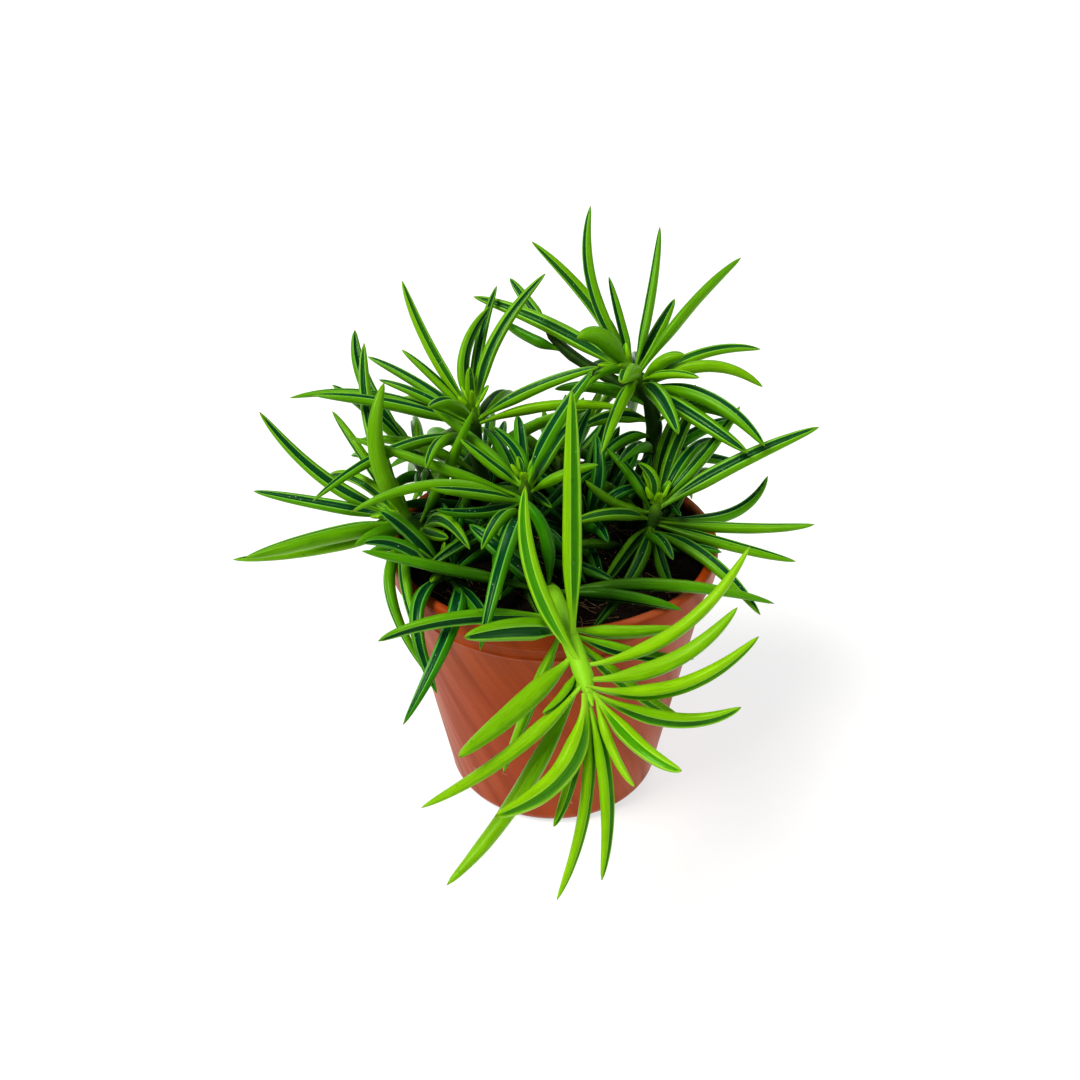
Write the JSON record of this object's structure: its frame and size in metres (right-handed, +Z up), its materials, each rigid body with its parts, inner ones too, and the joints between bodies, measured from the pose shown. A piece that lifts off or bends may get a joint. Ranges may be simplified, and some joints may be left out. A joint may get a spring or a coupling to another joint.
{
  "type": "potted peperomia plant",
  "caption": "House plant with long, thick, pod-shaped green leaves in leafy crowns, growing from dark soil in a round tapered terracotta-coloured plastic pot.",
  "frame": {"origin": "centre of the pot's flat underside, on the surface the pot stands on", "axes": "+Z up along the pot's axis, -Y towards the side that the thick front stem hangs over, +X to the right seen from there"},
  "size_m": [0.2073, 0.2184, 0.2076],
  "materials": {
    "terracotta_plastic": "semi-gloss moulded plastic",
    "potting_soil": "loose and rough",
    "stem_back_right_green": "fleshy and waxy",
    "stem_back_left_green": "fleshy and waxy",
    "stem_far_left_green": "fleshy and waxy",
    "stem_left_green": "fleshy and waxy",
    "stem_centre_green": "fleshy and waxy",
    "stem_middle_green": "fleshy and waxy",
    "stem_right_green": "fleshy and waxy",
    "stem_front_green": "fleshy and waxy",
    "stem_low_left_green": "fleshy and waxy",
    "stem_back_green": "fleshy and waxy",
    "stem_back_low_right_green": "fleshy and waxy",
    "stem_back_low_left_green": "fleshy and waxy"
  },
  "bodies": {
    "root": {"pot": "terracotta_plastic", "soil": "potting_soil", "stem_back_right": "stem_back_right_green", "stem_back_left": "stem_back_left_green", "stem_far_left": "stem_far_left_green", "stem_left": "stem_left_green", "stem_centre": "stem_centre_green", "stem_middle": "stem_middle_green", "stem_right": "stem_right_green", "stem_front": "stem_front_green", "stem_low_left": "stem_low_left_green", "stem_back": "stem_back_green", "stem_back_low_right": "stem_back_low_right_green", "stem_back_low_left": "stem_back_low_left_green"}
  },
  "joints": []
}
